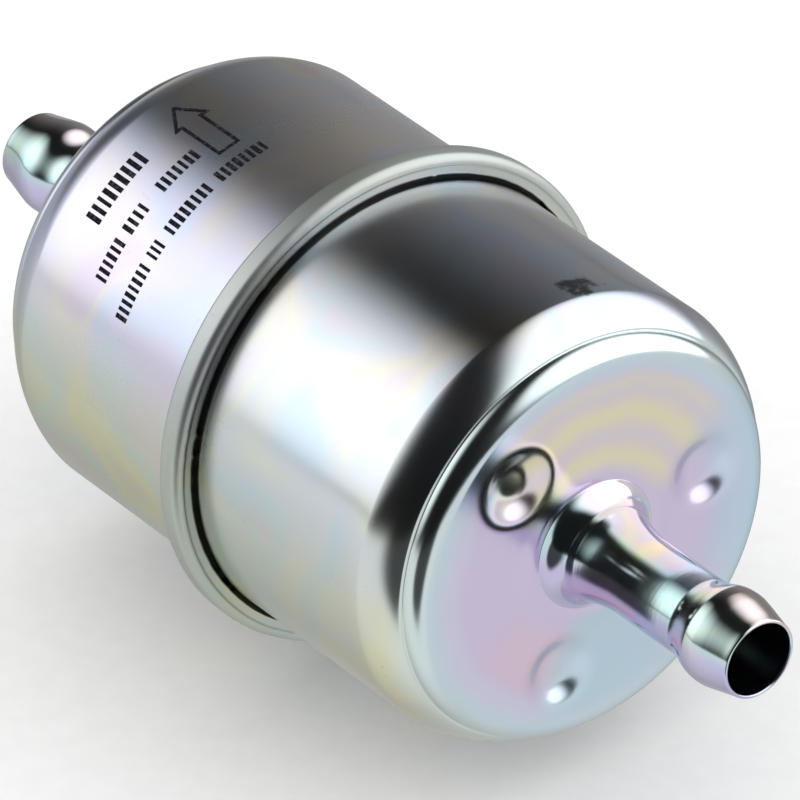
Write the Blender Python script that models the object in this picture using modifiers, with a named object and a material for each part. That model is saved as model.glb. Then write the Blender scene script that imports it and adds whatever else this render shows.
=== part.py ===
"""Inline fuel filter: two crimped steel cups, a hose nipple at each end, a pleated element inside.

Metres, +Z up. The axis lies along X, with the inlet at +X and the outlet at -X, and the
origin is the middle of the whole length. Each turned piece is drawn as a profile of
(radius, height) pairs, turned about local Z, and laid down so that local Z points along the axis.
"""
import math

import bmesh
import bpy
from mathutils import Matrix

# Cans: two deep-drawn cups
SHEET = 0.0006
CAN_R = 0.02225
INLET_DEPTH = 0.0309
OUTLET_DEPTH = 0.0314
SHOULDER_R = 0.0020
SHOULDER_RISE = 0.0039
SHOULDER_EASE = 1.5
STEP_WIDTH = 0.0002
STEP_HEIGHT = 0.0020
RIM_R = 0.0019

# Crimped seam
FLANGE_R = 0.0246
LIP_INNER_R = 0.0226
SEAM_CORNER_R = 0.0008
INLET_FILLET_R = 0.0002
OUTLET_FILLET_R = 0.0006
GASKET_THICKNESS = 0.0003
SEAM_CLEAR = 0.0002
GASKET_INNER_R = 0.0228

# Dimples that hold the element off the end faces
DIMPLE_COUNT = 3
DIMPLE_ANGLE = math.radians(12.8)
DIMPLE_MOUTH_R = 0.0041
DIMPLE_FLOOR_R = 0.0023
DIMPLE_DEPTH = 0.0013
CUTTER_PROUD = 0.0002

# Hose nipples, for a 7.9 mm (5/16 in) hose
TUBE_R = 0.00392
TUBE_BORE_R = 0.00325
BEAD_R = 0.00472
TIP_R = 0.00386
TIP_BORE_R = 0.00352
COLLAR_R = 0.0064
COLLAR_HEIGHT = 0.0016
COLLAR_EDGE = 0.0002
COLLAR_STEPS = 5
SEAT_R = 0.0072
SEAT_DEPTH = 0.0001
TIP_EDGE = 0.0001
TIP_EDGE_HEIGHT = 0.0004
BEAD_FRONT = 0.0009
BEAD_FRONT_DROP = 0.0001
BEAD_BACK = 0.0013
BEAD_BACK_DROP = 0.0003
NECK_R = 0.0047
NECK_TOP = 0.0028
NIPPLE_LENGTH = 0.0232
BEAD_HEIGHT = 0.0191
BEAD_START = 0.0152
TAPER_TOP = 0.0066
STAKE_R = 0.0056
STAKE_THICKNESS = 0.0006
BRAZE_WIDTH = 0.0010
BRAZE_TOE = 0.0002

# Pleated element
CAP_GAP = 0.0003
END_CAP_R = 0.0186
END_CAP_SHEET = 0.0004
END_CAP_RIM = 0.0022
POTTING_THICKNESS = 0.0012
PLEAT_OUTER_R = 0.0176
PLEAT_INNER_R = 0.0112
PLEAT_COUNT = 30
PAPER_HALF = 0.00035
PLEAT_TIP_SPREAD = 2.0
PLEAT_ROOT_SPREAD = 1.2
CENTRE_TUBE_R = 0.0104
CENTRE_TUBE_SHEET = 0.0005
TUBE_HOLE_R = 0.0013
TUBE_HOLE_ROWS = 5
TUBE_HOLES_ROUND = 8
DRILL_LENGTH = 0.0030
OUTLET_CAP_BORE_R = 0.0062
CLIP_WIDTH = 0.0017
CLIP_LEG = 0.0006
CLIP_SHEET = 0.0004
WASHER_WIDTH = 0.0009

FIT_GAP = 0.0003
CAN_STEPS = 48
RING_STEPS = 32
SMALL_STEPS = 24
OUTSIDE_CORNER_STEPS = 4
INSIDE_CORNER_STEPS = 3
FOLD_CORNER_STEPS = 3
FILLET_STEPS = 2
DIMPLE_SIDES = 16
HOLE_SIDES = 8
DOWNWARDS = -0.9
TAU = 2 * math.pi

# Heights along the axis, measured from the middle of the seam towards each end
SEAM_X = (OUTLET_DEPTH - INLET_DEPTH) / 2
SEAM_HALF = (3 * SHEET + GASKET_THICKNESS + 3 * SEAM_CLEAR) / 2
OUTLET_FLANGE_TOP = SEAM_HALF
OUTLET_FLANGE_BOTTOM = SEAM_HALF - SHEET
GASKET_LOW = SEAM_CLEAR - OUTLET_FLANGE_BOTTOM
GASKET_HIGH = GASKET_LOW + GASKET_THICKNESS
INLET_FLANGE_BOTTOM = GASKET_HIGH + SEAM_CLEAR
INLET_FLANGE_TOP = INLET_FLANGE_BOTTOM + SHEET
CAP_CLEAR = SHEET + DIMPLE_DEPTH + CAP_GAP
INLET_CAP_TOP = INLET_DEPTH - CAP_CLEAR
OUTLET_CAP_TOP = OUTLET_DEPTH - CAP_CLEAR

# Radii on the end face, outwards from the staked foot: braze, washer, then the dimples that clear it
WASHER_INNER_R = STAKE_R + FIT_GAP + BRAZE_WIDTH + FIT_GAP
WASHER_OUTER_R = WASHER_INNER_R + WASHER_WIDTH
DIMPLE_PITCH_R = WASHER_OUTER_R + FIT_GAP + SHEET / 2 + DIMPLE_MOUTH_R


def clear_scene():
    for old in list(bpy.data.objects):
        bpy.data.objects.remove(old, do_unlink=True)


def new_collection(name):
    made = bpy.data.collections.new(name)
    bpy.context.scene.collection.children.link(made)
    return made


def finish(name, colour, roughness, metallic):
    made = bpy.data.materials.new(name)
    made.use_nodes = True
    shader = made.node_tree.nodes["Principled BSDF"]
    shader.inputs["Base Color"].default_value = (*colour, 1.0)
    shader.inputs["Roughness"].default_value = roughness
    shader.inputs["Metallic"].default_value = metallic
    return made


def add_object(name, mesh, collection, material=None):
    made = bpy.data.objects.new(name, mesh)
    collection.objects.link(made)
    if material:
        mesh.materials.append(material)
    return made


def arc(centre_r, centre_h, radius, start, end, steps):
    """Points on an arc in the (radius, height) plane, angles in degrees from +radius to +height."""
    points = []
    for i in range(steps + 1):
        angle = math.radians(start + (end - start) * i / steps)
        points.append((centre_r + radius * math.cos(angle), centre_h + radius * math.sin(angle)))
    return points


def lay_down(obj, seam_x, towards_inlet):
    """Point local Z along the axis, away from the seam plane at seam_x."""
    obj.location = (seam_x, 0, 0)
    obj.rotation_euler = (0, math.pi / 2 if towards_inlet else -math.pi / 2, 0)


def turned(name, profile, steps, collection, material=None):
    """A closed (radius, height) profile turned about local Z."""
    bm = bmesh.new()
    verts = [bm.verts.new((r, 0, h)) for r, h in profile]
    for first, second in zip(verts, verts[1:] + verts[:1]):
        bm.edges.new((first, second))
    mesh = bpy.data.meshes.new(name)
    bm.to_mesh(mesh)
    bm.free()
    made = add_object(name, mesh, collection, material)
    screw = made.modifiers.new("turn", "SCREW")
    screw.axis = "Z"
    screw.steps = steps
    screw.render_steps = steps
    screw.use_merge_vertices = True
    screw.merge_threshold = 0.00001
    screw.use_smooth_shade = True
    return made


def shoulder(centre_r, centre_h, across, rise, steps):
    """The eased slope from the ledge to the wall: level where it starts and upright where it ends."""
    points = []
    for i in range(steps + 1):
        angle = math.pi / 2 * (1 - i / steps)
        outwards = across * math.cos(angle) ** SHOULDER_EASE
        upwards = rise * math.sin(angle) ** SHOULDER_EASE
        points.append((centre_r + outwards, centre_h + upwards))
    return points


def cup_outside(depth, offset, hole_r, corner_steps):
    """The drawn cup from the nipple hole to the top of the wall, moved inwards by offset.

    The outside has a shallow coined seat for the nipple's collar."""
    rim_centre_r = CAN_R - SHOULDER_R - STEP_WIDTH - RIM_R
    ledge_h = depth - STEP_HEIGHT
    points = [(hole_r, depth - max(offset, SEAT_DEPTH))]
    if offset == 0:
        points += [(SEAT_R - SEAT_DEPTH, depth - SEAT_DEPTH), (SEAT_R, depth)]
    points += arc(rim_centre_r, depth - RIM_R, RIM_R - offset, 90, 0, corner_steps)
    points.append((rim_centre_r + RIM_R - offset, ledge_h - offset))
    points += shoulder(CAN_R - SHOULDER_R, ledge_h - SHOULDER_RISE, SHOULDER_R - offset,
                       SHOULDER_RISE - offset, corner_steps)
    return points


def shell_bore():
    return TUBE_R + FIT_GAP


def dimple_cone(name, mouth_r, floor_r, mouth_h, floor_h, place, collection):
    """A cone on the dimple circle, from its mouth at mouth_h down to its floor at floor_h."""
    bm = bmesh.new()
    height = mouth_h - floor_h
    bmesh.ops.create_cone(bm, cap_ends=True, segments=DIMPLE_SIDES, radius1=floor_r, radius2=mouth_r,
                          depth=height)
    middle = (mouth_h + floor_h) / 2
    centre = (DIMPLE_PITCH_R * math.cos(place), DIMPLE_PITCH_R * math.sin(place), middle)
    bmesh.ops.translate(bm, verts=bm.verts, vec=centre)
    mesh = bpy.data.meshes.new(name)
    bm.to_mesh(mesh)
    bm.free()
    made = add_object(name, mesh, collection)
    made.hide_render = True
    made.display_type = "WIRE"
    return made


def combine(target, other, operation):
    modifier = target.modifiers.new(operation.lower() + "_" + other.name, "BOOLEAN")
    modifier.operation = operation
    modifier.solver = "EXACT"
    modifier.object = other


def press_dimples(shell, depth, towards_inlet, cutters):
    """Three dimples pressed into the end face: a bump inside for each hollow outside."""
    embed = SHEET / 2
    slope = (DIMPLE_MOUTH_R - DIMPLE_FLOOR_R) / DIMPLE_DEPTH
    for i in range(DIMPLE_COUNT):
        around = DIMPLE_ANGLE + i * TAU / DIMPLE_COUNT
        # Local X points down at the inlet and up at the outlet once the cup is laid down
        place = math.pi / 2 + around if towards_inlet else math.pi / 2 - around
        tag = f"{shell.name}_{i}"
        bump = dimple_cone("bump_" + tag, DIMPLE_MOUTH_R + SHEET / 2, DIMPLE_FLOOR_R + SHEET / 2,
                           depth - embed, depth - SHEET - DIMPLE_DEPTH, place, cutters)
        hollow = dimple_cone("hollow_" + tag, DIMPLE_MOUTH_R + slope * CUTTER_PROUD, DIMPLE_FLOOR_R,
                             depth + CUTTER_PROUD, depth - DIMPLE_DEPTH, place, cutters)
        for helper in (bump, hollow):
            lay_down(helper, SEAM_X, towards_inlet)
        combine(shell, bump, "UNION")
        combine(shell, hollow, "DIFFERENCE")


def inlet_shell(parts, cutters, plated):
    """The inlet cup, whose flange is held inside the folded rim of the outlet cup."""
    fillet = INLET_FILLET_R
    flange_edge = FLANGE_R - SHEET - FIT_GAP
    outer = cup_outside(INLET_DEPTH, 0, shell_bore(), OUTSIDE_CORNER_STEPS)
    outer += arc(CAN_R + fillet, INLET_FLANGE_TOP + fillet, fillet, 180, 270, FILLET_STEPS)
    outer += [(flange_edge, INLET_FLANGE_TOP), (flange_edge, INLET_FLANGE_BOTTOM)]
    inner = cup_outside(INLET_DEPTH, SHEET, shell_bore(), INSIDE_CORNER_STEPS)
    inner.append((CAN_R - SHEET, INLET_FLANGE_BOTTOM))
    made = turned("inlet_shell", outer + inner[::-1], CAN_STEPS, parts, plated)
    lay_down(made, SEAM_X, True)
    press_dimples(made, INLET_DEPTH, True, cutters)


def outlet_shell(parts, cutters, plated):
    """The outlet cup, whose flange is folded back over the inlet cup's flange."""
    fillet = OUTLET_FILLET_R
    corner = SEAM_CORNER_R
    channel_r = FLANGE_R - SHEET
    outer = cup_outside(OUTLET_DEPTH, 0, shell_bore(), OUTSIDE_CORNER_STEPS)
    outer += arc(CAN_R + fillet, OUTLET_FLANGE_TOP + fillet, fillet, 180, 270, FILLET_STEPS)
    outer += arc(FLANGE_R - corner, OUTLET_FLANGE_TOP - corner, corner, 90, 0, FOLD_CORNER_STEPS)
    outer += arc(FLANGE_R - corner, corner - SEAM_HALF, corner, 0, -90, FOLD_CORNER_STEPS)
    outer += [(LIP_INNER_R, -SEAM_HALF), (LIP_INNER_R, SHEET - SEAM_HALF)]
    outer += [(channel_r, SHEET - SEAM_HALF), (channel_r, OUTLET_FLANGE_BOTTOM)]
    inner = cup_outside(OUTLET_DEPTH, SHEET, shell_bore(), INSIDE_CORNER_STEPS)
    inner.append((CAN_R - SHEET, OUTLET_FLANGE_BOTTOM))
    made = turned("outlet_shell", outer + inner[::-1], CAN_STEPS, parts, plated)
    lay_down(made, SEAM_X, False)
    press_dimples(made, OUTLET_DEPTH, False, cutters)


def seam_gasket(parts, rubber):
    """The flat sealing ring clamped between the two flanges."""
    outer_r = FLANGE_R - SHEET - FIT_GAP
    profile = [(outer_r, GASKET_HIGH), (outer_r, GASKET_LOW)]
    profile += [(GASKET_INNER_R, GASKET_LOW), (GASKET_INNER_R, GASKET_HIGH)]
    made = turned("seam_gasket", profile, CAN_STEPS, parts, rubber)
    lay_down(made, SEAM_X, True)


def bell(base):
    """The collar's outside, from its edge on the seat up to the neck: flat, then steep, then flat."""
    points = [(COLLAR_R, base)]
    low = base + COLLAR_EDGE
    rise = COLLAR_HEIGHT - COLLAR_EDGE
    for i in range(COLLAR_STEPS + 1):
        share = i / COLLAR_STEPS
        ease = (1 - math.cos(math.pi * share)) / 2
        points.append((COLLAR_R + (NECK_R - COLLAR_R) * share, low + rise * ease))
    return points


def nipple(name, depth, towards_inlet, parts, plated):
    """A tube with a bell-shaped collar on the end face, a hose bead near its tip and a staked foot."""
    base = depth + FIT_GAP
    tip = depth + NIPPLE_LENGTH
    bead = depth + BEAD_HEIGHT
    foot_top = depth - SHEET - FIT_GAP
    foot = foot_top - STAKE_THICKNESS
    outer = [(TIP_BORE_R, tip), (TIP_R - TIP_EDGE, tip), (TIP_R + TIP_EDGE, tip - TIP_EDGE_HEIGHT)]
    outer += [(BEAD_R - BEAD_FRONT_DROP, bead + BEAD_FRONT), (BEAD_R, bead)]
    outer += [(BEAD_R - BEAD_BACK_DROP, bead - BEAD_BACK), (TUBE_R, depth + BEAD_START)]
    outer += [(TUBE_R, depth + TAPER_TOP), (NECK_R, depth + NECK_TOP)]
    outer += bell(base)[::-1]
    outer += [(TUBE_R, base), (TUBE_R, foot_top), (STAKE_R, foot_top), (STAKE_R, foot)]
    inner = [(TUBE_BORE_R, foot), (TUBE_BORE_R, depth + BEAD_START), (TIP_BORE_R, bead)]
    made = turned(name, outer + inner, SMALL_STEPS, parts, plated)
    lay_down(made, SEAM_X, towards_inlet)


def braze_ring(name, depth, towards_inlet, parts, copper):
    """The ring of braze that seals a nipple's staked foot to the inside of its end face."""
    top = depth - SHEET - FIT_GAP
    inner_r = STAKE_R + FIT_GAP
    outer_r = inner_r + BRAZE_WIDTH
    foot = top - STAKE_THICKNESS
    profile = [(outer_r, top), (inner_r + BRAZE_TOE, foot), (inner_r, foot), (inner_r, top)]
    made = turned(name, profile, SMALL_STEPS, parts, copper)
    lay_down(made, SEAM_X, towards_inlet)


def open_cap(parts, steel):
    """The outlet cap: a pressed ring with a turned-down rim and a hole for the clean fuel."""
    top = OUTLET_CAP_TOP
    under = top - END_CAP_SHEET
    rim_low = top - END_CAP_RIM
    rim_inner = END_CAP_R - END_CAP_SHEET
    profile = [(OUTLET_CAP_BORE_R, top), (END_CAP_R - END_CAP_SHEET, top), (END_CAP_R, under)]
    profile += [(END_CAP_R, rim_low), (rim_inner, rim_low), (rim_inner, under), (OUTLET_CAP_BORE_R, under)]
    made = turned("outlet_end_cap", profile, CAN_STEPS, parts, steel)
    lay_down(made, SEAM_X, False)


def closed_cap(parts, steel):
    """The closed inlet cap: a disc whose underside is hollowed inside its rim."""
    bm = bmesh.new()
    bmesh.ops.create_cone(bm, cap_ends=True, segments=CAN_STEPS, radius1=END_CAP_R, radius2=END_CAP_R,
                          depth=END_CAP_RIM)
    bmesh.ops.translate(bm, verts=bm.verts, vec=(0, 0, INLET_CAP_TOP - END_CAP_RIM / 2))
    low = [face for face in bm.faces if face.normal.z < DOWNWARDS]
    bmesh.ops.inset_region(bm, faces=low, thickness=END_CAP_SHEET, use_even_offset=True)
    low = [face for face in bm.faces if face.normal.z < DOWNWARDS and len(face.verts) == CAN_STEPS]
    bmesh.ops.translate(bm, verts=low[0].verts, vec=(0, 0, END_CAP_RIM - END_CAP_SHEET))
    mesh = bpy.data.meshes.new("inlet_end_cap")
    bm.to_mesh(mesh)
    bm.free()
    made = add_object("inlet_end_cap", mesh, parts, steel)
    lay_down(made, SEAM_X, True)


def potting(name, cap_top, towards_inlet, parts, adhesive):
    """The ring of adhesive that seals the pleat ends into a cap."""
    high = cap_top - END_CAP_SHEET - FIT_GAP
    low = high - POTTING_THICKNESS
    outer_r = END_CAP_R - END_CAP_SHEET - FIT_GAP
    inner_r = CENTRE_TUBE_R - CENTRE_TUBE_SHEET
    profile = [(outer_r, high), (outer_r, low), (inner_r, low), (inner_r, high)]
    made = turned(name, profile, CAN_STEPS, parts, adhesive)
    lay_down(made, SEAM_X, towards_inlet)


def element_ends():
    """The lowest and highest x of the pleats and the centre tube, between the two potting rings."""
    inside = END_CAP_SHEET + POTTING_THICKNESS + 2 * FIT_GAP
    return SEAM_X - OUTLET_CAP_TOP + inside, SEAM_X + INLET_CAP_TOP - inside


def filter_media(parts, paper):
    """Pleated paper: a zigzag ring of even thickness, drawn flat and extruded along the axis."""
    low, high = element_ends()
    bm = bmesh.new()
    outline = []
    for i in range(2 * PLEAT_COUNT):
        radius = PLEAT_OUTER_R if i % 2 == 0 else PLEAT_INNER_R
        outline.append((radius, i * math.pi / PLEAT_COUNT))
    rings = []
    for side in (1, -1):
        ring = []
        for radius, angle in outline:
            spread = PLEAT_TIP_SPREAD if radius == PLEAT_OUTER_R else PLEAT_ROOT_SPREAD
            r = radius + side * PAPER_HALF * spread
            ring.append(bm.verts.new((r * math.cos(angle), r * math.sin(angle), 0)))
        rings.append(ring)
    faces = []
    count = len(outline)
    for i in range(count):
        j = (i + 1) % count
        faces.append(bm.faces.new((rings[0][i], rings[0][j], rings[1][j], rings[1][i])))
    extruded = bmesh.ops.extrude_face_region(bm, geom=faces)
    moved = [item for item in extruded["geom"] if isinstance(item, bmesh.types.BMVert)]
    bmesh.ops.translate(bm, verts=moved, vec=(0, 0, high - low))
    bmesh.ops.recalc_face_normals(bm, faces=bm.faces)
    mesh = bpy.data.meshes.new("filter_media")
    bm.to_mesh(mesh)
    bm.free()
    made = add_object("filter_media", mesh, parts, paper)
    lay_down(made, low, True)


def pleat_clip(parts, steel):
    """The channel strip pinched over the pleat where the two ends of the paper meet."""
    low, high = element_ends()
    foot = PLEAT_OUTER_R + PLEAT_TIP_SPREAD * PAPER_HALF + FIT_GAP - CLIP_LEG
    top = foot + CLIP_LEG + CLIP_SHEET
    half = CLIP_WIDTH / 2
    slot = half - CLIP_SHEET
    outline = [(foot, -half), (top, -half), (top, half), (foot, half)]
    outline += [(foot, slot), (foot + CLIP_LEG, slot), (foot + CLIP_LEG, -slot), (foot, -slot)]
    bm = bmesh.new()
    face = bm.faces.new([bm.verts.new((r, side, 0)) for r, side in outline])
    extruded = bmesh.ops.extrude_face_region(bm, geom=[face])
    moved = [item for item in extruded["geom"] if isinstance(item, bmesh.types.BMVert)]
    rim_clear = END_CAP_RIM - END_CAP_SHEET - POTTING_THICKNESS
    bmesh.ops.translate(bm, verts=moved, vec=(0, 0, high - low - 2 * rim_clear))
    bmesh.ops.recalc_face_normals(bm, faces=bm.faces)
    mesh = bpy.data.meshes.new("pleat_clip")
    bm.to_mesh(mesh)
    bm.free()
    made = add_object("pleat_clip", mesh, parts, steel)
    lay_down(made, low + rim_clear, True)


def tube_drills(length, cutters):
    """Round drills on staggered rows, each just long enough to pass through the tube's wall."""
    bm = bmesh.new()
    for row in range(TUBE_HOLE_ROWS):
        height = length * (row + 0.5) / TUBE_HOLE_ROWS
        for i in range(TUBE_HOLES_ROUND):
            angle = (i + 0.5 * (row % 2)) * TAU / TUBE_HOLES_ROUND
            made = bmesh.ops.create_cone(bm, cap_ends=True, segments=HOLE_SIDES, radius1=TUBE_HOLE_R,
                                         radius2=TUBE_HOLE_R, depth=DRILL_LENGTH)
            place = Matrix.Rotation(angle, 4, "Z") @ Matrix.Translation((CENTRE_TUBE_R, 0, height))
            bmesh.ops.transform(bm, verts=made["verts"], matrix=place @ Matrix.Rotation(math.pi / 2, 4, "Y"))
    mesh = bpy.data.meshes.new("tube_drills")
    bm.to_mesh(mesh)
    bm.free()
    made = add_object("tube_drills", mesh, cutters)
    made.hide_render = True
    made.display_type = "WIRE"
    return made


def centre_tube(parts, cutters, steel):
    """The perforated tube that holds the pleats open against the flow."""
    low, high = element_ends()
    length = high - low
    inner_r = CENTRE_TUBE_R - CENTRE_TUBE_SHEET
    profile = [(CENTRE_TUBE_R, length), (CENTRE_TUBE_R, 0), (inner_r, 0), (inner_r, length)]
    made = turned("centre_tube", profile, RING_STEPS, parts, steel)
    drills = tube_drills(length, cutters)
    for item in (made, drills):
        lay_down(item, low, True)
    combine(made, drills, "DIFFERENCE")


def seal_washer(parts, rubber):
    """The rubber washer squeezed between the open end cap and the inside of the outlet face."""
    washer_gap = FIT_GAP / 2
    high = OUTLET_DEPTH - SHEET - washer_gap
    low = OUTLET_CAP_TOP + washer_gap
    profile = [(WASHER_OUTER_R, high), (WASHER_OUTER_R, low), (WASHER_INNER_R, low), (WASHER_INNER_R, high)]
    made = turned("outlet_seal_washer", profile, RING_STEPS, parts, rubber)
    lay_down(made, SEAM_X, False)


def build():
    clear_scene()
    parts = new_collection("fuel_filter")
    cutters = new_collection("cutters")
    plated = finish("plated_steel", (0.62, 0.62, 0.63), 0.28, 1.0)
    bare_steel = finish("bare_steel", (0.55, 0.55, 0.56), 0.4, 1.0)
    copper = finish("braze_copper", (0.72, 0.38, 0.22), 0.4, 1.0)
    rubber = finish("nitrile_rubber", (0.02, 0.02, 0.02), 0.7, 0.0)
    paper = finish("filter_paper", (0.78, 0.62, 0.36), 0.9, 0.0)
    adhesive = finish("potting_adhesive", (0.55, 0.5, 0.4), 0.5, 0.0)

    inlet_shell(parts, cutters, plated)
    outlet_shell(parts, cutters, plated)
    seam_gasket(parts, rubber)
    nipple("inlet_nipple", INLET_DEPTH, True, parts, plated)
    nipple("outlet_nipple", OUTLET_DEPTH, False, parts, plated)
    braze_ring("inlet_braze_ring", INLET_DEPTH, True, parts, copper)
    braze_ring("outlet_braze_ring", OUTLET_DEPTH, False, parts, copper)
    closed_cap(parts, bare_steel)
    open_cap(parts, bare_steel)
    potting("inlet_potting", INLET_CAP_TOP, True, parts, adhesive)
    potting("outlet_potting", OUTLET_CAP_TOP, False, parts, adhesive)
    filter_media(parts, paper)
    pleat_clip(parts, bare_steel)
    centre_tube(parts, cutters, bare_steel)
    seal_washer(parts, rubber)


build()
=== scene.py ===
# %% [markdown]
# # Inline fuel filter
# A zinc-plated steel can in two halves, crimped together at a folded seam, with a hose
# nipple at each end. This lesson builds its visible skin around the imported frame: first the
# frame, then the light, then each piece, and last the finishes.

# %% Load the frame
import math
import random

import bmesh
import bpy
from mathutils import Matrix, Vector, noise


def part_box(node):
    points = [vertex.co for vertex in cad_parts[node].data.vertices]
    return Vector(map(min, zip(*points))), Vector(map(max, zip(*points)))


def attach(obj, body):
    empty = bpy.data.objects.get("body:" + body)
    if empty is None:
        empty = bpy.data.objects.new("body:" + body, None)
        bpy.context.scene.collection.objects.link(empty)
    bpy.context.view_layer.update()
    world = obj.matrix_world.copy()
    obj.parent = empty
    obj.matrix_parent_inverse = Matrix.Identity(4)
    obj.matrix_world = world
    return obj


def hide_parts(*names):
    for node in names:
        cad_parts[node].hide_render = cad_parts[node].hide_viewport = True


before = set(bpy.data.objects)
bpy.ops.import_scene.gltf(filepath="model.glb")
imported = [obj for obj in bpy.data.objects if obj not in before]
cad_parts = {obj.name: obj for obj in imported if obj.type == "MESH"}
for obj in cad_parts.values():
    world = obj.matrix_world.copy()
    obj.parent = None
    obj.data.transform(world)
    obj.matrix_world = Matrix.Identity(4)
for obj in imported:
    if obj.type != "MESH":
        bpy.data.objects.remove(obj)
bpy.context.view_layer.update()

print("frame:", sorted(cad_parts))

# %% [markdown]
# The can's ends, its seam and the nipple tips are read from the frame's boxes, so the skin
# lands on the solids whatever their size. Only the fine shape between them is named here.

# %% Places and sizes, in metres
MM = 0.001
TAU = 2 * math.pi
INLET_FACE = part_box("inlet_shell")[1][0]
OUTLET_FACE = -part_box("outlet_shell")[0][0]
FLANGE_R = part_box("outlet_shell")[1][2]
INLET_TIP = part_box("inlet_nipple")[1][0]
OUTLET_TIP = -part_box("outlet_nipple")[0][0]
SEAM_HALF = 1.35 * MM
SEAM_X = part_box("outlet_shell")[1][0] - SEAM_HALF
CAN_R = 22.25 * MM
SHEET = 0.6 * MM
print("faces", INLET_FACE, OUTLET_FACE, "flange", FLANGE_R, "tips", INLET_TIP, OUTLET_TIP, "seam", SEAM_X)


# %% [markdown]
# A small class carries a node socket through ordinary arithmetic, so a pattern reads as a
# formula. `Maker` adds every other node with one method.

# %% Shader arithmetic
class Flow:
    """A number socket that can be added to, multiplied and compared."""

    def __init__(self, maker, socket):
        self.maker = maker
        self.socket = socket

    def math(self, operation, *others, clamp=False):
        node = self.maker.tree.nodes.new("ShaderNodeMath")
        node.operation = operation
        node.use_clamp = clamp
        for slot, value in zip(node.inputs, (self, *others)):
            self.maker.feed(slot, value)
        return Flow(self.maker, node.outputs[0])

    def __add__(self, other):
        return self.math("ADD", other)

    def __radd__(self, other):
        return self.math("ADD", other)

    def __sub__(self, other):
        return self.math("SUBTRACT", other)

    def __rsub__(self, other):
        return Flow.of(self.maker, other).math("SUBTRACT", self)

    def __mul__(self, other):
        return self.math("MULTIPLY", other)

    def __rmul__(self, other):
        return self.math("MULTIPLY", other)

    def __truediv__(self, other):
        return self.math("DIVIDE", other)

    def clamped(self):
        return self.math("ADD", 0.0, clamp=True)

    def step(self, low, high):
        """0 below low, 1 above high, eased between. Falls instead of rising when high is the lower."""
        node = self.maker.tree.nodes.new("ShaderNodeMapRange")
        node.interpolation_type = "SMOOTHSTEP"
        rising = high >= low
        values = (self, low, high, 0.0, 1.0) if rising else (self, high, low, 1.0, 0.0)
        for slot, value in zip(node.inputs, values):
            self.maker.feed(slot, value)
        return Flow(self.maker, node.outputs[0])

    @staticmethod
    def of(maker, value):
        node = maker.tree.nodes.new("ShaderNodeMath")
        node.operation = "ADD"
        node.inputs[0].default_value = value
        node.inputs[1].default_value = 0.0
        return Flow(maker, node.outputs[0])


class Maker:
    """Adds nodes to one tree."""

    def __init__(self, tree):
        self.tree = tree

    def feed(self, slot, value):
        if isinstance(value, Flow):
            self.tree.links.new(value.socket, slot)
        elif isinstance(value, bpy.types.NodeSocket):
            self.tree.links.new(value, slot)
        elif isinstance(value, (tuple, list)) and slot.type == "RGBA" and len(value) == 3:
            slot.default_value = (*value, 1.0)
        else:
            slot.default_value = value

    def node(self, kind, settings=None, stops=None, **inputs):
        made = self.tree.nodes.new("ShaderNode" + kind)
        for name, value in (settings or {}).items():
            setattr(made, name, value)
        if stops:
            ramp = made.color_ramp
            ramp.interpolation = "EASE"
            while len(ramp.elements) < len(stops):
                ramp.elements.new(0.5)
            for element, (place, colour) in zip(ramp.elements, stops):
                element.position = place
                element.color = (*colour, 1.0)
        for name, value in inputs.items():
            self.feed(made.inputs[name.replace("_", " ")], value)
        return made

    def value(self, socket):
        return Flow(self, socket)

    def noise(self, place, scale, detail=3.0, roughness=0.5, distortion=0.0):
        made = self.node("TexNoise", Vector=place, Scale=scale, Detail=detail, Roughness=roughness,
                         Distortion=distortion)
        return self.value(made.outputs[0])

    def mix(self, factor, first, second, blend="MIX"):
        made = self.tree.nodes.new("ShaderNodeMix")
        made.data_type = "RGBA"
        made.blend_type = blend
        self.feed(made.inputs["Factor"], factor)
        self.feed(made.inputs["A"], first)
        self.feed(made.inputs["B"], second)
        return made.outputs["Result"]

    def ramp(self, factor, stops):
        return self.node("ValToRGB", stops=stops, Fac=factor).outputs["Color"]

    def object_place(self):
        return self.node("TexCoord").outputs["Object"]

    def parts_of(self, vector):
        made = self.node("SeparateXYZ", Vector=vector)
        return [self.value(made.outputs[i]) for i in range(3)]


def new_material(name):
    made = bpy.data.materials.new(name)
    made.use_nodes = True
    maker = Maker(made.node_tree)
    shader = made.node_tree.nodes["Principled BSDF"]
    return made, maker, shader


print("shader arithmetic ready")

# %% [markdown]
# ## Light
# Bright plated metal has almost no colour of its own: it shows the room. The room here is a
# large dome that only reflections see. Its lower half is the pale table with one unlit patch in
# front, its upper half is almost unlit, and two soft windows hang in it, one to the left and one
# to the right. A plain pale world lights the floor, so the shadow under the can stays soft.

# %% The floor
FLOOR_Z = -FLANGE_R


def pale_floor():
    bm = bmesh.new()
    bmesh.ops.create_grid(bm, x_segments=2, y_segments=2, size=3.0)
    bmesh.ops.translate(bm, verts=bm.verts, vec=(0, 0, FLOOR_Z))
    mesh = bpy.data.meshes.new("floor")
    bm.to_mesh(mesh)
    bm.free()
    floor = bpy.data.objects.new("floor", mesh)
    bpy.context.scene.collection.objects.link(floor)
    material, maker, shader = new_material("pale_floor")
    grain = maker.noise(maker.object_place(), 400.0)
    tone = maker.ramp(grain, [(0.3, (0.93, 0.93, 0.93)), (0.7, (0.95, 0.95, 0.95))])
    maker.feed(shader.inputs["Base Color"], tone)
    shader.inputs["Roughness"].default_value = 0.9
    shader.inputs["Specular IOR Level"].default_value = 0.1
    mesh.materials.append(material)
    floor.visible_glossy = False
    return floor


pale_floor()


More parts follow.
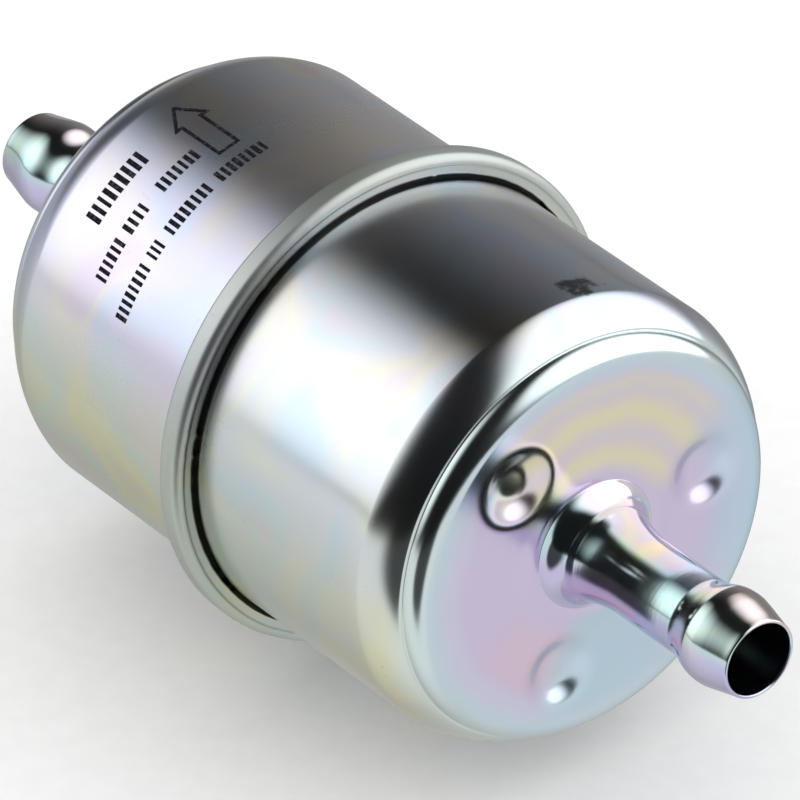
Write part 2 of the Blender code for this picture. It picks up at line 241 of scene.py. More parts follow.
# %% The reflection dome
def soft_window(maker, direction, centre, edge, full, power):
    """A round soft-edged light in the dome: full inside one cosine, gone outside the other."""
    aim = maker.node("VectorMath", {"operation": "DOT_PRODUCT"})
    maker.feed(aim.inputs[0], direction)
    maker.feed(aim.inputs[1], Vector(centre).normalized())
    return maker.value(aim.outputs["Value"]).step(edge, full) * power


def reflection_dome():
    bm = bmesh.new()
    bmesh.ops.create_icosphere(bm, subdivisions=4, radius=2.0)
    mesh = bpy.data.meshes.new("dome")
    bm.to_mesh(mesh)
    bm.free()
    dome = bpy.data.objects.new("dome", mesh)
    bpy.context.scene.collection.objects.link(dome)
    material = bpy.data.materials.new("dome_light")
    material.use_nodes = True
    tree = material.node_tree
    tree.nodes.clear()
    maker = Maker(tree)
    unit = maker.node("VectorMath", {"operation": "NORMALIZE"})
    maker.feed(unit.inputs[0], maker.object_place())
    direction = unit.outputs["Vector"]
    x, y, z = maker.parts_of(direction)
    below = z.step(0.03, -0.10)
    table = 0.50 + 0.45 * (0.0 - y).clamped() + 0.23 * (x + 0.67)
    table = (table * (1.0 - 0.50 * y.step(0.40, 0.85) * x.step(0.0, -0.5))).math("MINIMUM", 0.92)
    unlit_front = soft_window(maker, direction, (0.55, -0.80, -0.15), 0.84, 0.93, 0.92)
    ceiling = 0.012 + 0.30 * y.step(0.05, 0.95) * (1.0 - 0.8 * z.clamped())
    left_window = soft_window(maker, direction, (-0.69, -0.60, 0.40), 0.72, 1.03, 1.6)
    right_window = soft_window(maker, direction, (0.40, 0.70, 0.59), 0.54, 0.76, 1.5)
    room = below * table * (1.0 - unlit_front) + (1.0 - below) * (ceiling + right_window)
    skirting = z.step(-0.060, -0.035) * z.step(0.000, -0.025)
    light = (room + left_window * (1.0 - 0.9 * below)) * (1.0 - 0.7 * skirting)
    glow = maker.node("Emission", Color=(1.0, 1.0, 1.0), Strength=light)
    out = maker.node("OutputMaterial")
    maker.feed(out.inputs["Surface"], glow.outputs[0])
    mesh.materials.append(material)
    dome.visible_camera = False
    dome.visible_diffuse = False
    dome.visible_transmission = False
    dome.visible_volume_scatter = False
    dome.visible_shadow = False


reflection_dome()


# %% The world and the camera
def pale_world(strength):
    world = bpy.data.worlds.new("pale_room")
    world.use_nodes = True
    background = world.node_tree.nodes["Background"]
    background.inputs["Color"].default_value = (1.0, 1.0, 1.0, 1.0)
    background.inputs["Strength"].default_value = strength
    world.cycles_visibility.glossy = False
    bpy.context.scene.world = world


pale_world(1.14)
bpy.context.scene.view_settings.view_transform = "Standard"

CAMERA_TURN = math.radians(52.55)
CAMERA_RISE = math.radians(32.63)
CAMERA_DISTANCE = 0.8858
VIEW_WIDTH = 0.0729


def aim_camera(side, down):
    """A long lens at the set turn and rise, with the axis' middle moved side and down in the frame."""
    right = Vector((math.cos(CAMERA_TURN), math.sin(CAMERA_TURN), 0))
    ahead = Vector((-math.sin(CAMERA_TURN) * math.cos(CAMERA_RISE),
                    math.cos(CAMERA_TURN) * math.cos(CAMERA_RISE), -math.sin(CAMERA_RISE)))
    up = right.cross(ahead)
    data = bpy.data.cameras.new("camera")
    data.sensor_width = 36.0
    data.lens = 36.0 * CAMERA_DISTANCE / VIEW_WIDTH
    data.clip_start = 0.01
    camera = bpy.data.objects.new("camera", data)
    bpy.context.scene.collection.objects.link(camera)
    place = Matrix((right, up, -ahead)).transposed().to_4x4()
    place.translation = Vector((SEAM_X, 0, 0)) - side * right + down * up - CAMERA_DISTANCE * ahead
    camera.matrix_world = place
    bpy.context.scene.camera = camera


aim_camera(side=-0.00145, down=-0.00042)

# %% [markdown]
# ## Turned sheet-metal
# Both halves of the can are drawn from flat sheet, so each is one skin of even thickness. The
# outline is drawn once as (height, radius) pairs, spun about the axis with `bmesh.ops.spin`,
# pressed where the tool pressed it, and thickened with Solidify. A boolean would leave sharp
# rims at the dimples; moving the skin's own vertices leaves the soft rims of pressed steel.

# %% Outline helpers
def arc(centre_h, centre_r, radius, start, end, steps):
    """Points on an arc, with 0 degrees along +radius and 90 along +height."""
    points = []
    for i in range(steps + 1):
        angle = math.radians(start + (end - start) * i / steps)
        points.append((centre_h + radius * math.sin(angle), centre_r + radius * math.cos(angle)))
    return points


def straight(first, last, steps):
    """Evenly spaced points from first to last, without the first."""
    return [tuple(a + (b - a) * (i + 1) / steps for a, b in zip(first, last)) for i in range(steps)]


def spun_skin(outline, seam_x, side, steps, closed=False):
    """The outline turned about the axis. Side is +1 towards the inlet and -1 towards the outlet."""
    bm = bmesh.new()
    verts = [bm.verts.new((seam_x + side * h, 0, r)) for h, r in outline]
    pairs = list(zip(verts, verts[1:] + (verts[:1] if closed else [])))
    edges = [bm.edges.new(pair) for pair in pairs if pair[0] is not pair[1]]
    bmesh.ops.spin(bm, geom=verts + edges, cent=(0, 0, 0), axis=(1, 0, 0), angle=TAU, steps=steps,
                   use_merge=True)
    bmesh.ops.remove_doubles(bm, verts=bm.verts, dist=1e-7)
    bmesh.ops.recalc_face_normals(bm, faces=bm.faces)
    return bm


def face_outwards(bm, side):
    """An open cup has no inside of its own, so its end face decides which way its skin looks."""
    ends = [face for face in bm.faces if abs(face.normal.x) > 0.99]
    if sum(face.normal.x * side * face.calc_area() for face in ends) < 0:
        bmesh.ops.reverse_faces(bm, faces=bm.faces)


def place_piece(bm, name, material, node, thickness=0.0):
    mesh = bpy.data.meshes.new(name)
    for face in bm.faces:
        face.smooth = True
    bm.to_mesh(mesh)
    bm.free()
    piece = bpy.data.objects.new(name, mesh)
    bpy.context.scene.collection.objects.link(piece)
    mesh.materials.append(material)
    if thickness:
        wall = piece.modifiers.new("sheet", "SOLIDIFY")
        wall.thickness = thickness
        wall.offset = -1.0
        wall.use_even_offset = True
    if node:
        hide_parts(node)
    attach(piece, "root")
    low = [min(v.co[i] for v in mesh.vertices) / MM for i in range(3)]
    high = [max(v.co[i] for v in mesh.vertices) / MM for i in range(3)]
    print(name, len(mesh.polygons), "faces", [round(v, 2) for v in low], [round(v, 2) for v in high])
    return piece


# %% The drawn end that both halves share
SHOULDER_R = 2.0 * MM
SHOULDER_RISE = 3.9 * MM
SHOULDER_EASE = 1.5
SHOULDER_STEPS = 18
STEP_WIDTH = 0.2 * MM
STEP_HEIGHT = 2.0 * MM
RIM_R = 1.9 * MM
HOLE_R = 4.3 * MM
CREASE_R = 0.15 * MM
FACE_RINGS = 40
SPIN_STEPS = 224


def shoulder(centre_h):
    """The eased slope from the ledge to the wall: level where it starts and upright where it ends."""
    points = []
    for i in range(1, SHOULDER_STEPS + 1):
        angle = math.pi / 2 * (1 - i / SHOULDER_STEPS)
        outwards = SHOULDER_R * math.cos(angle) ** SHOULDER_EASE
        upwards = SHOULDER_RISE * math.sin(angle) ** SHOULDER_EASE
        points.append((centre_h + upwards, CAN_R - SHOULDER_R + outwards))
    return points


def drawn_end(depth):
    """From the nipple hole over the face, the rim, the step and the shoulder to the top of the wall."""
    rim_centre = CAN_R - SHOULDER_R - STEP_WIDTH - RIM_R
    riser_r = rim_centre + RIM_R
    ledge = depth - STEP_HEIGHT
    points = [(depth, HOLE_R)] + straight((depth, HOLE_R), (depth, rim_centre), FACE_RINGS)
    points += arc(depth - RIM_R, rim_centre, RIM_R, 90, 8, 14)[1:]
    points += arc(ledge + CREASE_R, riser_r + CREASE_R, CREASE_R, 180, 270, 5)
    return points + shoulder(ledge - SHOULDER_RISE)


# %% Dimples and the soft unevenness of drawn steel
DIMPLE_COUNT = 3
DIMPLE_PITCH_R = 12.8 * MM
DIMPLE_ANGLE = math.radians(12.8)
DIMPLE_MOUTH_R = 4.4 * MM
DIMPLE_FLOOR_R = 1.1 * MM
DIMPLE_DEPTH = 1.02 * MM
BOSS_RISE = 0.10 * MM
BOSS_R = 7.2 * MM
BOSS_HALF_WIDTH = 1.4 * MM
FACE_WAVE = 0.03 * MM
FACE_WAVE_SCALE = 130
WALL_SWELL = 0.02 * MM
WALL_SWELL_SCALE = 60


def dimple_depth(y, z):
    """How far the tool pressed the face in at a point."""
    deepest = 0.0
    for i in range(DIMPLE_COUNT):
        angle = DIMPLE_ANGLE + i * TAU / DIMPLE_COUNT
        away = math.hypot(y - DIMPLE_PITCH_R * math.cos(angle), z - DIMPLE_PITCH_R * math.sin(angle))
        share = (away - DIMPLE_FLOOR_R) / (DIMPLE_MOUTH_R - DIMPLE_FLOOR_R)
        share = min(max(share, 0.0), 1.0)
        deepest = max(deepest, DIMPLE_DEPTH * 0.5 * (1 + math.cos(math.pi * share)))
    return deepest


def press_face(bm, face_x, side):
    """Push the dimples into the end face and ripple the whole skin by a few hundredths."""
    for vert in bm.verts:
        place = vert.co
        radius = math.hypot(place.y, place.z)
        from_face = (face_x - place.x * side)
        if from_face < RIM_R:
            reach = 1 - from_face / RIM_R
            wave = noise.noise(Vector((place.y, place.z, side)) * FACE_WAVE_SCALE) * FACE_WAVE
            boss = BOSS_RISE * max(0.0, 1 - abs(radius - BOSS_R) / BOSS_HALF_WIDTH)
            place.x -= side * reach * (dimple_depth(place.y, place.z) - wave - boss)
        elif radius > 1 * MM:
            swell = noise.noise(place * WALL_SWELL_SCALE) * WALL_SWELL
            grow = 1 + swell / radius
            if radius * grow < FLANGE_R:
                place.y *= grow
                place.z *= grow


print("dimples on a circle of", 2 * DIMPLE_PITCH_R / MM, "mm")

# %% [markdown]
# ## Finishes
# Zinc plate with a clear chromate coat is a soft silver that drifts through lilac, mint, pale
# blue and olive, because the coat is thin enough to interfere with light. The drift follows
# the part's own surface, so it goes into Base Color as a pattern on Object coordinates. The
# gloss is left to the shader: metallic, with a roughness that varies by a few hundredths.

# %% Plated steel
SILVER = (0.72, 0.72, 0.73)
LILAC = (0.69, 0.61, 0.80)
MINT = (0.48, 0.75, 0.70)
PALE_MINT = (0.66, 0.76, 0.75)
PALE_SKY = (0.62, 0.73, 0.81)
PALE_LILAC = (0.68, 0.67, 0.82)
SKY = (0.50, 0.72, 0.86)
STRAW = (0.82, 0.78, 0.50)
ROSE = (0.78, 0.60, 0.66)
OLIVE = (0.62, 0.65, 0.42)
FOLD_GREEN = (0.50, 0.55, 0.51)
SLATE = (0.60, 0.62, 0.74)
PALE_VIOLET = (0.66, 0.65, 0.84)
MAUVE = (0.64, 0.59, 0.60)
NIPPLE_VIOLET = (0.52, 0.48, 0.74)
NIPPLE_LILAC = (0.60, 0.56, 0.76)
NIPPLE_STRAW = (0.78, 0.80, 0.56)
DUST_GREY = (0.30, 0.30, 0.30)
SOOT_BLACK = (0.03, 0.03, 0.03)
# Painted shade: near black for the crevice where the folded lip shades the inlet wall at the seam
CREVICE_SHADE_BLACK = (0.04, 0.04, 0.035)


def around_axis(maker, y, z, angle):
    """The cosine of the angle between a point's place round the axis and the angle given, in degrees."""
    radius = (y * y + z * z).math("SQRT") + 1e-6
    turn = math.radians(angle)
    return (y * math.cos(turn) + z * math.sin(turn)) / radius


def plated_wall(name, bands, roughness, metallic):
    """Plate on a drawn wall: drawing lines round the can, and a slow drift of colour."""
    material, maker, shader = new_material(name)
    place = maker.object_place()
    x, y, z = maker.parts_of(place)
    cloud = maker.noise(place, 55.0, 2.0)
    fine = maker.noise(place, 5200.0, 2.0)
    colour = SILVER
    for angle, width, tint, strength in bands:
        near = around_axis(maker, y, z, angle).step(math.cos(math.radians(width)), 1.0)
        colour = maker.mix(near * strength * (0.75 + 0.5 * cloud), colour, tint)
    drift = maker.noise(place, 85.0, 1.0, distortion=0.6)
    shimmer = maker.ramp(drift, [(0.30, LILAC), (0.42, SKY), (0.52, SILVER), (0.60, STRAW), (0.72, ROSE)])
    colour = maker.mix(0.30, colour, shimmer)
    radius = (y * y + z * z).math("SQRT")
    fold = radius.step(CAN_R + 0.3 * MM, CAN_R + 0.9 * MM)
    colour = maker.mix(fold * 0.75, colour, FOLD_GREEN)
    dust = maker.noise(place, 1500.0, 2.0).step(0.70, 0.78)
    colour = maker.mix(dust * 0.20, colour, DUST_GREY)
    maker.feed(shader.inputs["Base Color"], colour)
    shader.inputs["Metallic"].default_value = metallic
    smear = maker.noise(place, 140.0, 4.0)
    near_seam = (x - SEAM_X).math("ABSOLUTE").step(26 * MM, 3 * MM)
    gloss = roughness + 0.07 * near_seam + 0.13 * fold
    maker.feed(shader.inputs["Roughness"], gloss + 0.08 * smear + 0.05 * fine)
    rings = maker.node("CombineXYZ", X=x * 4200.0, Y=radius * 2200.0 + y * 60.0, Z=z * 60.0).outputs[0]
    lines = maker.noise(rings, 1.0, 3.0, 0.6)
    grain = maker.node("Bump", Strength=0.10, Distance=0.00003, Height=lines * 0.5 + fine * 0.25)
    maker.feed(shader.inputs["Normal"], grain.outputs[0])
    return material


# %% Plated face
def sector(maker, y, z, angle, half_width, soft):
    """1 within half_width of an angle round the axis, fading out over the next soft degrees."""
    inside = math.cos(math.radians(half_width))
    outside = math.cos(math.radians(half_width + soft))
    return around_axis(maker, y, z, angle).step(outside, inside)


def plated_face(maker, place, x, y, z):
    """The face shows the coat best: straw arcs over lilac, with sky blue and mint towards the edge."""
    radius = (y * y + z * z).math("SQRT") / MM
    swirl = maker.noise(place, 95.0, 2.0, distortion=0.8)
    reach = radius + (swirl - 0.5) * 2.4
    rings = [(0.70, LILAC), (0.82, PALE_LILAC), (0.91, PALE_SKY), (0.98, PALE_MINT)]
    colour = maker.ramp(reach / 20.0, rings)
    wave = (reach * 1.5 + 1.0).math("SINE") * 0.5 + 0.5
    straw = sector(maker, y, z, 84, 42, 30) * reach.step(6.6, 9.0) * reach.step(17.6, 15.4)
    colour = maker.mix(straw * 0.7, colour, LILAC)
    colour = maker.mix(straw * (0.35 + 0.50 * wave), colour, STRAW)
    rose = sector(maker, y, z, 236, 8, 26) * reach.step(8.0, 10.0) * reach.step(16.0, 13.5)
    colour = maker.mix(rose * 0.6, colour, ROSE)
    mint = sector(maker, y, z, 277, 10, 24) * reach.step(6.0, 8.0) * reach.step(18.5, 16.0)
    colour = maker.mix(mint * 0.7, colour, maker.mix(swirl, MINT, SKY))
    edge = sector(maker, y, z, 2, 16, 24) * reach.step(11.5, 15.0)
    return maker.mix(edge * 0.5, colour, SKY)


SOOT_HEIGHT = 23.4 * MM
SOOT_HALF_LENGTH = 2.6 * MM
SOOT_ANGLE = 80
SOOT_NARROWNESS = 60.0


def soot(maker, place, x, y, z, colour):
    """A dark smudge on the shoulder of the inlet half, broken up like a greasy thumb mark."""
    along = (x - (SEAM_X + SOOT_HEIGHT)) / SOOT_HALF_LENGTH
    around = (1.0 - around_axis(maker, y, z, SOOT_ANGLE)) * SOOT_NARROWNESS
    blotch = maker.noise(place, 700.0, 3.0)
    mark = (along * along + around + blotch * 1.6).step(1.15, 0.75)
    return maker.mix(mark * 0.85, colour, SOOT_BLACK)


# Painted shade at the seam: how far from the seam the inlet wall is painted near black, and how softly it
# fades
CREVICE_SHADE_EDGE = 1.60 * MM
CREVICE_SHADE_BLUR = 0.3 * MM
INLET_COAT_REACH = 4.5 * MM
OUTLET_COAT_REACH = 1.8 * MM
COAT_EDGE = 0.8 * MM


def plated_can(name, face_x, side, bands, roughness, metallic):
    """One coat over wall and face, changing from one pattern to the other across the rim."""
    material = plated_wall(name, bands, roughness, metallic)
    maker = Maker(material.node_tree)
    shader = material.node_tree.nodes["Principled BSDF"]
    wall_colour = shader.inputs["Base Color"].links[0].from_socket
    place = maker.object_place()
    x, y, z = maker.parts_of(place)
    face_colour = plated_face(maker, place, x, y, z)
    coat_reach = INLET_COAT_REACH if side > 0 else OUTLET_COAT_REACH
    from_face = (face_x - x * side).step(coat_reach, COAT_EDGE)
    colour = maker.mix(from_face, wall_colour, face_colour)
    if side > 0:
        colour = soot(maker, place, x, y, z, colour)
        # Painted shade: the inlet wall next to the seam is painted near black where the folded lip shades the
        # crevice
        crevice_shade = (x - SEAM_X).step(CREVICE_SHADE_EDGE + CREVICE_SHADE_BLUR, CREVICE_SHADE_EDGE)
        colour = maker.mix(crevice_shade * 0.92, colour, CREVICE_SHADE_BLACK)
    maker.feed(shader.inputs["Base Color"], colour)
    return material


def plated_nipple(name):
    material, maker, shader = new_material(name)
    place = maker.object_place()
    x, y, z = maker.parts_of(place)
    drift = maker.noise(place, 170.0, 2.0, distortion=0.7)
    stops = [(0.30, NIPPLE_LILAC), (0.42, SKY), (0.52, SILVER), (0.62, NIPPLE_STRAW), (0.74, ROSE)]
    tint = maker.ramp(drift, stops)
    colour = maker.mix(0.6, SILVER, tint)
    colour = maker.mix(sector(maker, y, z, 215, 30, 30) * 0.8, colour, NIPPLE_VIOLET)
    colour = maker.mix(sector(maker, y, z, 135, 10, 30) * 0.6, colour, MINT)
    colour = maker.mix(sector(maker, y, z, 70, 20, 30) * 0.5, colour, ROSE)
    maker.feed(shader.inputs["Base Color"], colour)
    shader.inputs["Metallic"].default_value = 1.0
    smear = maker.noise(place, 400.0, 3.0)
    maker.feed(shader.inputs["Roughness"], 0.07 + 0.10 * smear)
    rings = maker.node("CombineXYZ", X=x * 3000.0, Y=y * 150.0, Z=z * 150.0).outputs[0]
    lines = maker.noise(rings, 1.0, 3.0, 0.6)
    grain = maker.node("Bump", Strength=0.08, Distance=0.00003, Height=lines)
    maker.feed(shader.inputs["Normal"], grain.outputs[0])
    return material


# Each band: its place round the can and its half width, in degrees, its tint and its strength
INLET_BANDS = [(210, 50, OLIVE, 0.8), (70, 40, SLATE, 0.7), (155, 30, SKY, 0.30)]
OUTLET_BANDS = [(205, 50, OLIVE, 1.0), (135, 38, PALE_VIOLET, 0.9), (72, 40, MAUVE, 0.8)]
inlet_plate = plated_can("plate_inlet", INLET_FACE, 1, INLET_BANDS, 0.12, 1.0)
outlet_plate = plated_can("plate_outlet", OUTLET_FACE, -1, OUTLET_BANDS, 0.17, 0.95)
nipple_plate = plated_nipple("plate_nipple")
print("plated finishes made")

# %% [markdown]
# ## The inlet half
# This cup carries the three dimples in view. Its wall opens a little at the bottom and turns
# out into a flange, which the other half's rim is folded over.

# %% Inlet can
SEAM_FILLET_R = 1.0 * MM
WALL_FLARE = 0.08 * MM
FLARE_START = 3.6 * MM
FLARE_MIDDLE = 2.4 * MM
FLARE_MIDDLE_OUT = 0.03 * MM
INLET_FLANGE_TOP = 0.55 * MM
FLANGE_EDGE_R = FLANGE_R - 0.9 * MM


def inlet_can():
    depth = INLET_FACE - SEAM_X
    outline = drawn_end(depth)
    top = outline[-1]
    fillet_h = INLET_FLANGE_TOP + SEAM_FILLET_R
    wall_foot_r = CAN_R + WALL_FLARE
    outline += straight(top, (FLARE_START, CAN_R), 12)
    outline += [(FLARE_MIDDLE, CAN_R + FLARE_MIDDLE_OUT), (fillet_h + 0.1 * MM, wall_foot_r)]
    outline += arc(fillet_h, wall_foot_r + SEAM_FILLET_R, SEAM_FILLET_R, 180, 270, 6)
    outline.append((INLET_FLANGE_TOP, FLANGE_EDGE_R))
    bm = spun_skin(outline, SEAM_X, 1, SPIN_STEPS)
    face_outwards(bm, 1)
    press_face(bm, INLET_FACE, 1)
    return place_piece(bm, "inlet_can", inlet_plate, "inlet_shell", SHEET)


inlet_can()

# %% [markdown]
# ## The outlet half and its folded rim
# The rim goes out, round the other flange and back in. A crimping roller leaves the lip
# slightly wavy, with a crease part way across and a few nicks where the fold bunched up.

# %% Outlet can
LIP_INNER_R = 22.72 * MM
LIP_CREASE_R = 23.62 * MM
LIP_SINK = 0.10 * MM
OUTER_CORNER_R = 0.55 * MM
LIP_CORNER_R = 0.85 * MM
FLANGE_FILLET_R = 0.7 * MM
NICKS = ((167.5, 0.9, 0.16), (173.0, 0.6, 0.12), (129.0, 0.8, 0.12), (78.0, 0.7, 0.10), (236.0, 0.9, 0.14),
         (300.0, 0.7, 0.12), (20.0, 0.8, 0.12))


def crimp(bm):
    """Make the lip wavy and bunch it up at the nicks."""
    for vert in bm.verts:
        place = vert.co
        radius = math.hypot(place.y, place.z)
        if place.x - SEAM_X < 0.6 * MM or radius < CAN_R + 0.2 * MM:
            continue
        angle = math.degrees(math.atan2(place.z, place.y)) % 360
        turn = Vector((place.y, place.z, 0)) / radius
        inward = min(max((FLANGE_R - radius) / (FLANGE_R - LIP_INNER_R), 0.0), 1.0)
        slow = noise.noise(turn * 3.0)
        quick = noise.noise(turn * 22.0)
        place.x += inward * (0.05 * slow + 0.025 * quick) * MM
        shift = inward * (0.10 * slow + 0.05 * quick) * MM
        for centre, width, depth in NICKS:
            away = abs((angle - centre + 180) % 360 - 180)
            if away < width:
                bunch = 0.5 * (1 + math.cos(math.pi * away / width)) * depth * MM
                place.x += inward * bunch * 0.5
                shift -= inward * bunch
        place.y += turn.x * shift
        place.z += turn.y * shift


def outlet_can():
    depth = OUTLET_FACE + SEAM_X
    lip = -SEAM_HALF
    outline = drawn_end(depth)
    outline += straight(outline[-1], (SEAM_HALF + FLANGE_FILLET_R, CAN_R), 14)
    outline += arc(SEAM_HALF + FLANGE_FILLET_R, CAN_R + FLANGE_FILLET_R, FLANGE_FILLET_R, 180, 270, 6)[1:]
    outline += arc(SEAM_HALF - OUTER_CORNER_R, FLANGE_R - OUTER_CORNER_R, OUTER_CORNER_R, 90, 0, 6)
    outline += arc(lip + LIP_CORNER_R, FLANGE_R - LIP_CORNER_R, LIP_CORNER_R, 0, -90, 9)
    outline += [(lip + 0.02 * MM, LIP_CREASE_R + 0.05 * MM), (lip + LIP_SINK, LIP_CREASE_R - 0.03 * MM)]
    outline += straight(outline[-1], (lip + 0.6 * LIP_SINK, LIP_INNER_R + 0.12 * MM), 4)
    outline.append((lip + 0.6 * LIP_SINK + 0.05 * MM, LIP_INNER_R))
    bm = spun_skin(outline, SEAM_X, -1, SPIN_STEPS * 2)
    face_outwards(bm, -1)
    press_face(bm, OUTLET_FACE, -1)
    crimp(bm)
    return place_piece(bm, "outlet_can", outlet_plate, "outlet_shell", SHEET)


outlet_can()

# %% [markdown]
# ## Hose nipples
# Each nipple is a tube: upset into a collar where it sits on the face, tapering to the hose
# size, and swelled into a bead near the tip that the hose clip pulls against.

# %% Nipples
TUBE_R = 3.92 * MM
BORE_R = 3.25 * MM
TIP_BORE_R = 3.52 * MM
TIP_R = 3.86 * MM
BEAD_R = 4.70 * MM
COLLAR_R = 6.45 * MM
NECK_R = 4.72 * MM
BELL_TOP_R = 4.76 * MM
BELL_EDGE_RISE = 0.36
BELL_STEEPNESS = 3.0
BELL_HEIGHT = 1.9 * MM
BELL_STEPS = 20
FOOT_H = -1.1 * MM
COLLAR_H = 0.02 * MM
NECK_END = 6.9 * MM
BEAD_RUN = 3.8 * MM
BEAD_TO_TIP = 4.3 * MM


def eased(first, last, steps):
    """An S-shaped run between two outline points."""
    points = []
    for i in range(1, steps + 1):
        share = i / steps
        ease = 0.5 - 0.5 * math.cos(math.pi * share)
        points.append((first[0] + (last[0] - first[0]) * share, first[1] + (last[1] - first[1]) * ease))
    return points


def flared(first, last, steps):
    """A run that closes in on its last radius fast at first and then ever slower."""
    points = []
    for i in range(1, steps + 1):
        left = 1 - i / steps
        points.append((last[0] + (first[0] - last[0]) * left, last[1] + (first[1] - last[1]) * left ** 2))
    return points


def nipple_outline(length):
    """From the foot inside the can, over collar, neck, bead and tip, and back down the bore."""
    bead = length - BEAD_TO_TIP
    points = [(FOOT_H, BORE_R), (FOOT_H, TUBE_R), (COLLAR_H, TUBE_R), (COLLAR_H, COLLAR_R)]
    bell_low = 0.03 * MM
    for i in range(1, BELL_STEPS + 1):
        share = i / BELL_STEPS
        rise = BELL_EDGE_RISE * share + (1 - BELL_EDGE_RISE) * share ** BELL_STEEPNESS
        radius = COLLAR_R + (BELL_TOP_R - COLLAR_R) * share
        points.append((bell_low + (BELL_HEIGHT - bell_low) * rise, radius))
    points += [(BELL_HEIGHT + 0.20 * MM, NECK_R + 0.01 * MM), (BELL_HEIGHT + 0.45 * MM, NECK_R)]
    points += flared(points[-1], (NECK_END, TUBE_R), 14)
    points += straight(points[-1], (bead - BEAD_RUN, TUBE_R), 6)
    points += eased(points[-1], (bead - 0.5 * MM, BEAD_R - 0.02 * MM), 10)
    points += [(bead - 0.1 * MM, BEAD_R), (bead + 0.4 * MM, BEAD_R - 0.03 * MM)]
    points += straight((bead + 0.9 * MM, BEAD_R - 0.12 * MM), (length - 0.45 * MM, TIP_R + 0.04 * MM), 5)
    points += arc(length - 0.2 * MM, TIP_R - 0.17 * MM, 0.17 * MM, 10, 170, 8)
    points += [(length - 0.7 * MM, TIP_BORE_R), (bead, TIP_BORE_R - 0.05 * MM)]
    points += eased(points[-1], (bead - 4.0 * MM, BORE_R), 5)
    return points


def hose_nipple(name, node, face, tip, side):
    bm = spun_skin(nipple_outline(tip - face), side * face, side, 128, closed=True)
    return place_piece(bm, name, nipple_plate, node)


hose_nipple("inlet_hose_nipple", "inlet_nipple", INLET_FACE, INLET_TIP, 1)
hose_nipple("outlet_hose_nipple", "outlet_nipple", OUTLET_FACE, OUTLET_TIP, -1)

# %% [markdown]
# ## Printed marks
# The outlet half is printed in black: an outlined arrow that points the way the fuel flows,
# and three rows of code. The rows are plain bars here. A decal texture would need an image, so
# each mark is a flat outline, cut fine enough to bend, wrapped onto the wall a hair above it.

# %% Ink and wrapping
INK_LIFT = 0.05 * MM


def ink_material():
    material, maker, shader = new_material("print_ink")
    place = maker.object_place()
    worn = maker.noise(place, 2600.0, 3.0).step(0.50, 0.66)
    maker.feed(shader.inputs["Base Color"], maker.mix(worn * 0.35, (0.012, 0.012, 0.016), (0.10, 0.10, 0.12)))
    maker.feed(shader.inputs["Roughness"], 0.55 + 0.20 * worn)
    shader.inputs["Specular IOR Level"].default_value = 0.0
    return material


ink = ink_material()


def wrap_flat(bm, name):
    """Take a flat drawing (distance along the axis, distance round the wall) onto the wall and print it."""
    span = 0.5 * MM
    for axis, normal in ((0, Vector((1, 0, 0))), (1, Vector((0, 1, 0)))):
        low = min(v.co[axis] for v in bm.verts)
        high = max(v.co[axis] for v in bm.verts)
        cut = low + span
        while cut < high:
            geom = bm.verts[:] + bm.edges[:] + bm.faces[:]
            bmesh.ops.bisect_plane(bm, geom=geom, plane_co=normal * cut, plane_no=normal, dist=1e-7)
            cut += span
    thick = bmesh.ops.extrude_face_region(bm, geom=bm.faces[:])
    for item in thick["geom"]:
        if isinstance(item, bmesh.types.BMVert):
            item.co.z = INK_LIFT
    for vert in bm.verts:
        angle = vert.co.y / CAN_R
        radius = CAN_R + vert.co.z
        vert.co = (vert.co.x, radius * math.cos(angle), radius * math.sin(angle))
    bmesh.ops.recalc_face_normals(bm, faces=bm.faces)
    return place_piece(bm, name, ink, None)


def round_wall(angle):
    return math.radians(angle) * CAN_R


# %% Flow arrow
ARROW_TIP = -23.7 * MM
ARROW_NECK = -20.5 * MM
ARROW_TAIL = -14.8 * MM
ARROW_MIDDLE = round_wall(105.9)
ARROW_HALF_HEAD = 2.05 * MM
ARROW_HALF_SHAFT = 1.25 * MM
ARROW_LINE = 0.32 * MM


def flow_arrow():
    half = [(ARROW_TIP, 0.0), (ARROW_NECK, ARROW_HALF_HEAD), (ARROW_NECK, ARROW_HALF_SHAFT),
            (ARROW_TAIL, ARROW_HALF_SHAFT)]
    outline = half + [(x, -across) for x, across in reversed(half[1:])]
    bm = bmesh.new()
    face = bm.faces.new([bm.verts.new((x, ARROW_MIDDLE + across, 0)) for x, across in outline])
    face.normal_update()
    bmesh.ops.inset_region(bm, faces=[face], thickness=ARROW_LINE, use_boundary=True, use_even_offset=True)
    bmesh.ops.delete(bm, geom=[face], context="FACES")
    return wrap_flat(bm, "flow_arrow")


flow_arrow()

# %% Code rows
# Each row: its name, its middle along the axis and its height, in millimetres, and its words. A word
# runs from one angle round the can to another, in degrees, and has so many bars.
ROWS = (
    ("code_row_outer", -21.3, 2.0, ((119.6, 139.8, 9),)),
    ("code_row_middle", -16.9, 1.5, ((111.6, 124.6, 7), (129.0, 137.2, 4), (139.0, 150.4, 6))),
    ("code_row_inner", -12.6, 1.5,
     ((99.4, 114.4, 8), (116.6, 131.8, 8), (134.0, 138.9, 3), (140.4, 155.4, 8))),
)
BAR_GAP = 0.42
rng = random.Random(5)


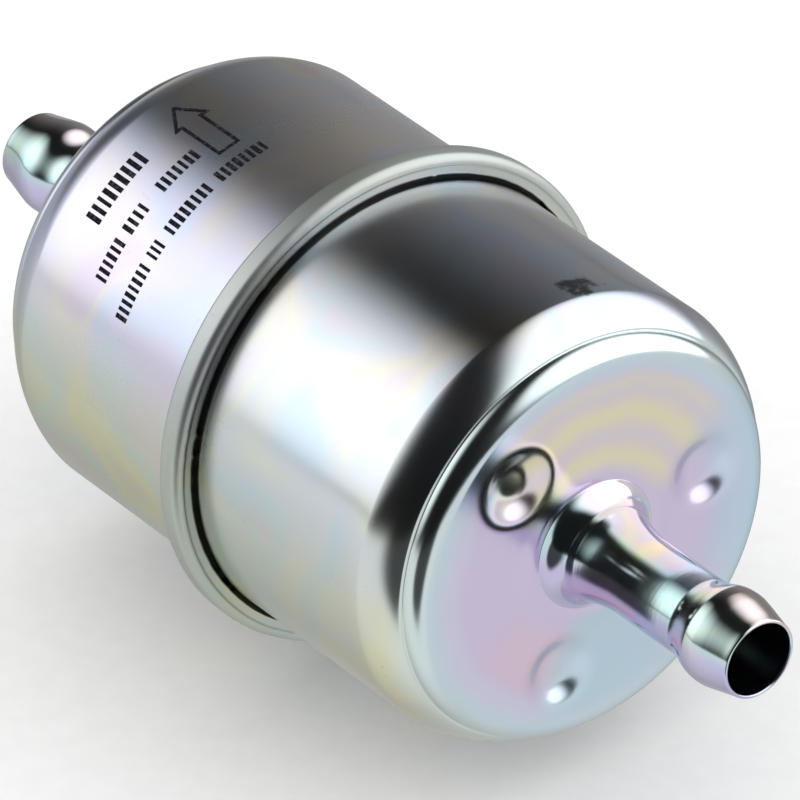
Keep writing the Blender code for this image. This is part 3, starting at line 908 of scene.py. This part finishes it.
def code_row(name, middle, height, words):
    """Groups of plain bars, each bar as tall as the row and of its own width."""
    bm = bmesh.new()
    for first, last, count in words:
        pitch = (round_wall(last) - round_wall(first)) / count
        for i in range(count):
            width = pitch * (1 - BAR_GAP) * rng.uniform(0.75, 1.1)
            centre = round_wall(first) + pitch * (i + 0.5)
            made = bmesh.ops.create_grid(bm, x_segments=1, y_segments=1, size=0.5)
            move = Matrix.Translation((middle * MM, centre, 0))
            stretch = Matrix.Diagonal((height * MM, width, 1, 1))
            bmesh.ops.transform(bm, verts=made["verts"], matrix=move @ stretch)
    return wrap_flat(bm, name)


for row in ROWS:
    code_row(*row)

# %% [markdown]
# ## Inside the can
# The element and its hardware stay as they are in the frame. They only need their finishes.

# %% Inner finishes
def dull_material(name, light, dark, scale, roughness, metallic=0.0, bump=0.0002):
    material, maker, shader = new_material(name)
    cloud = maker.noise(maker.object_place(), scale, 4.0)
    maker.feed(shader.inputs["Base Color"], maker.ramp(cloud, [(0.35, dark), (0.65, light)]))
    maker.feed(shader.inputs["Roughness"], roughness + 0.1 * cloud)
    shader.inputs["Metallic"].default_value = metallic
    skin = maker.node("Bump", Strength=0.3, Distance=bump, Height=cloud)
    maker.feed(shader.inputs["Normal"], skin.outputs[0])
    return material


steel = dull_material("bare_steel", (0.60, 0.60, 0.61), (0.45, 0.45, 0.46), 300.0, 0.35, 1.0, 0.00002)
braze = dull_material("braze_copper", (0.75, 0.42, 0.25), (0.55, 0.28, 0.16), 500.0, 0.35, 1.0, 0.00005)
rubber = dull_material("nitrile_rubber", (0.03, 0.03, 0.03), (0.015, 0.015, 0.015), 700.0, 0.6)
paper = dull_material("filter_paper", (0.82, 0.68, 0.42), (0.70, 0.55, 0.30), 900.0, 0.8)
adhesive = dull_material("potting_adhesive", (0.62, 0.55, 0.42), (0.50, 0.44, 0.33), 200.0, 0.45)
INNER = (
    (steel, ("inlet_end_cap", "outlet_end_cap", "pleat_clip", "centre_tube")),
    (braze, ("inlet_braze_ring", "outlet_braze_ring")),
    (rubber, ("seam_gasket", "outlet_seal_washer")),
    (paper, ("filter_media",)),
    (adhesive, ("inlet_potting", "outlet_potting")),
)
for material, nodes in INNER:
    for node in nodes:
        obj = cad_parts[node]
        obj.data.materials.clear()
        obj.data.materials.append(material)
print("inner pieces finished:", sum(len(nodes) for _, nodes in INNER))
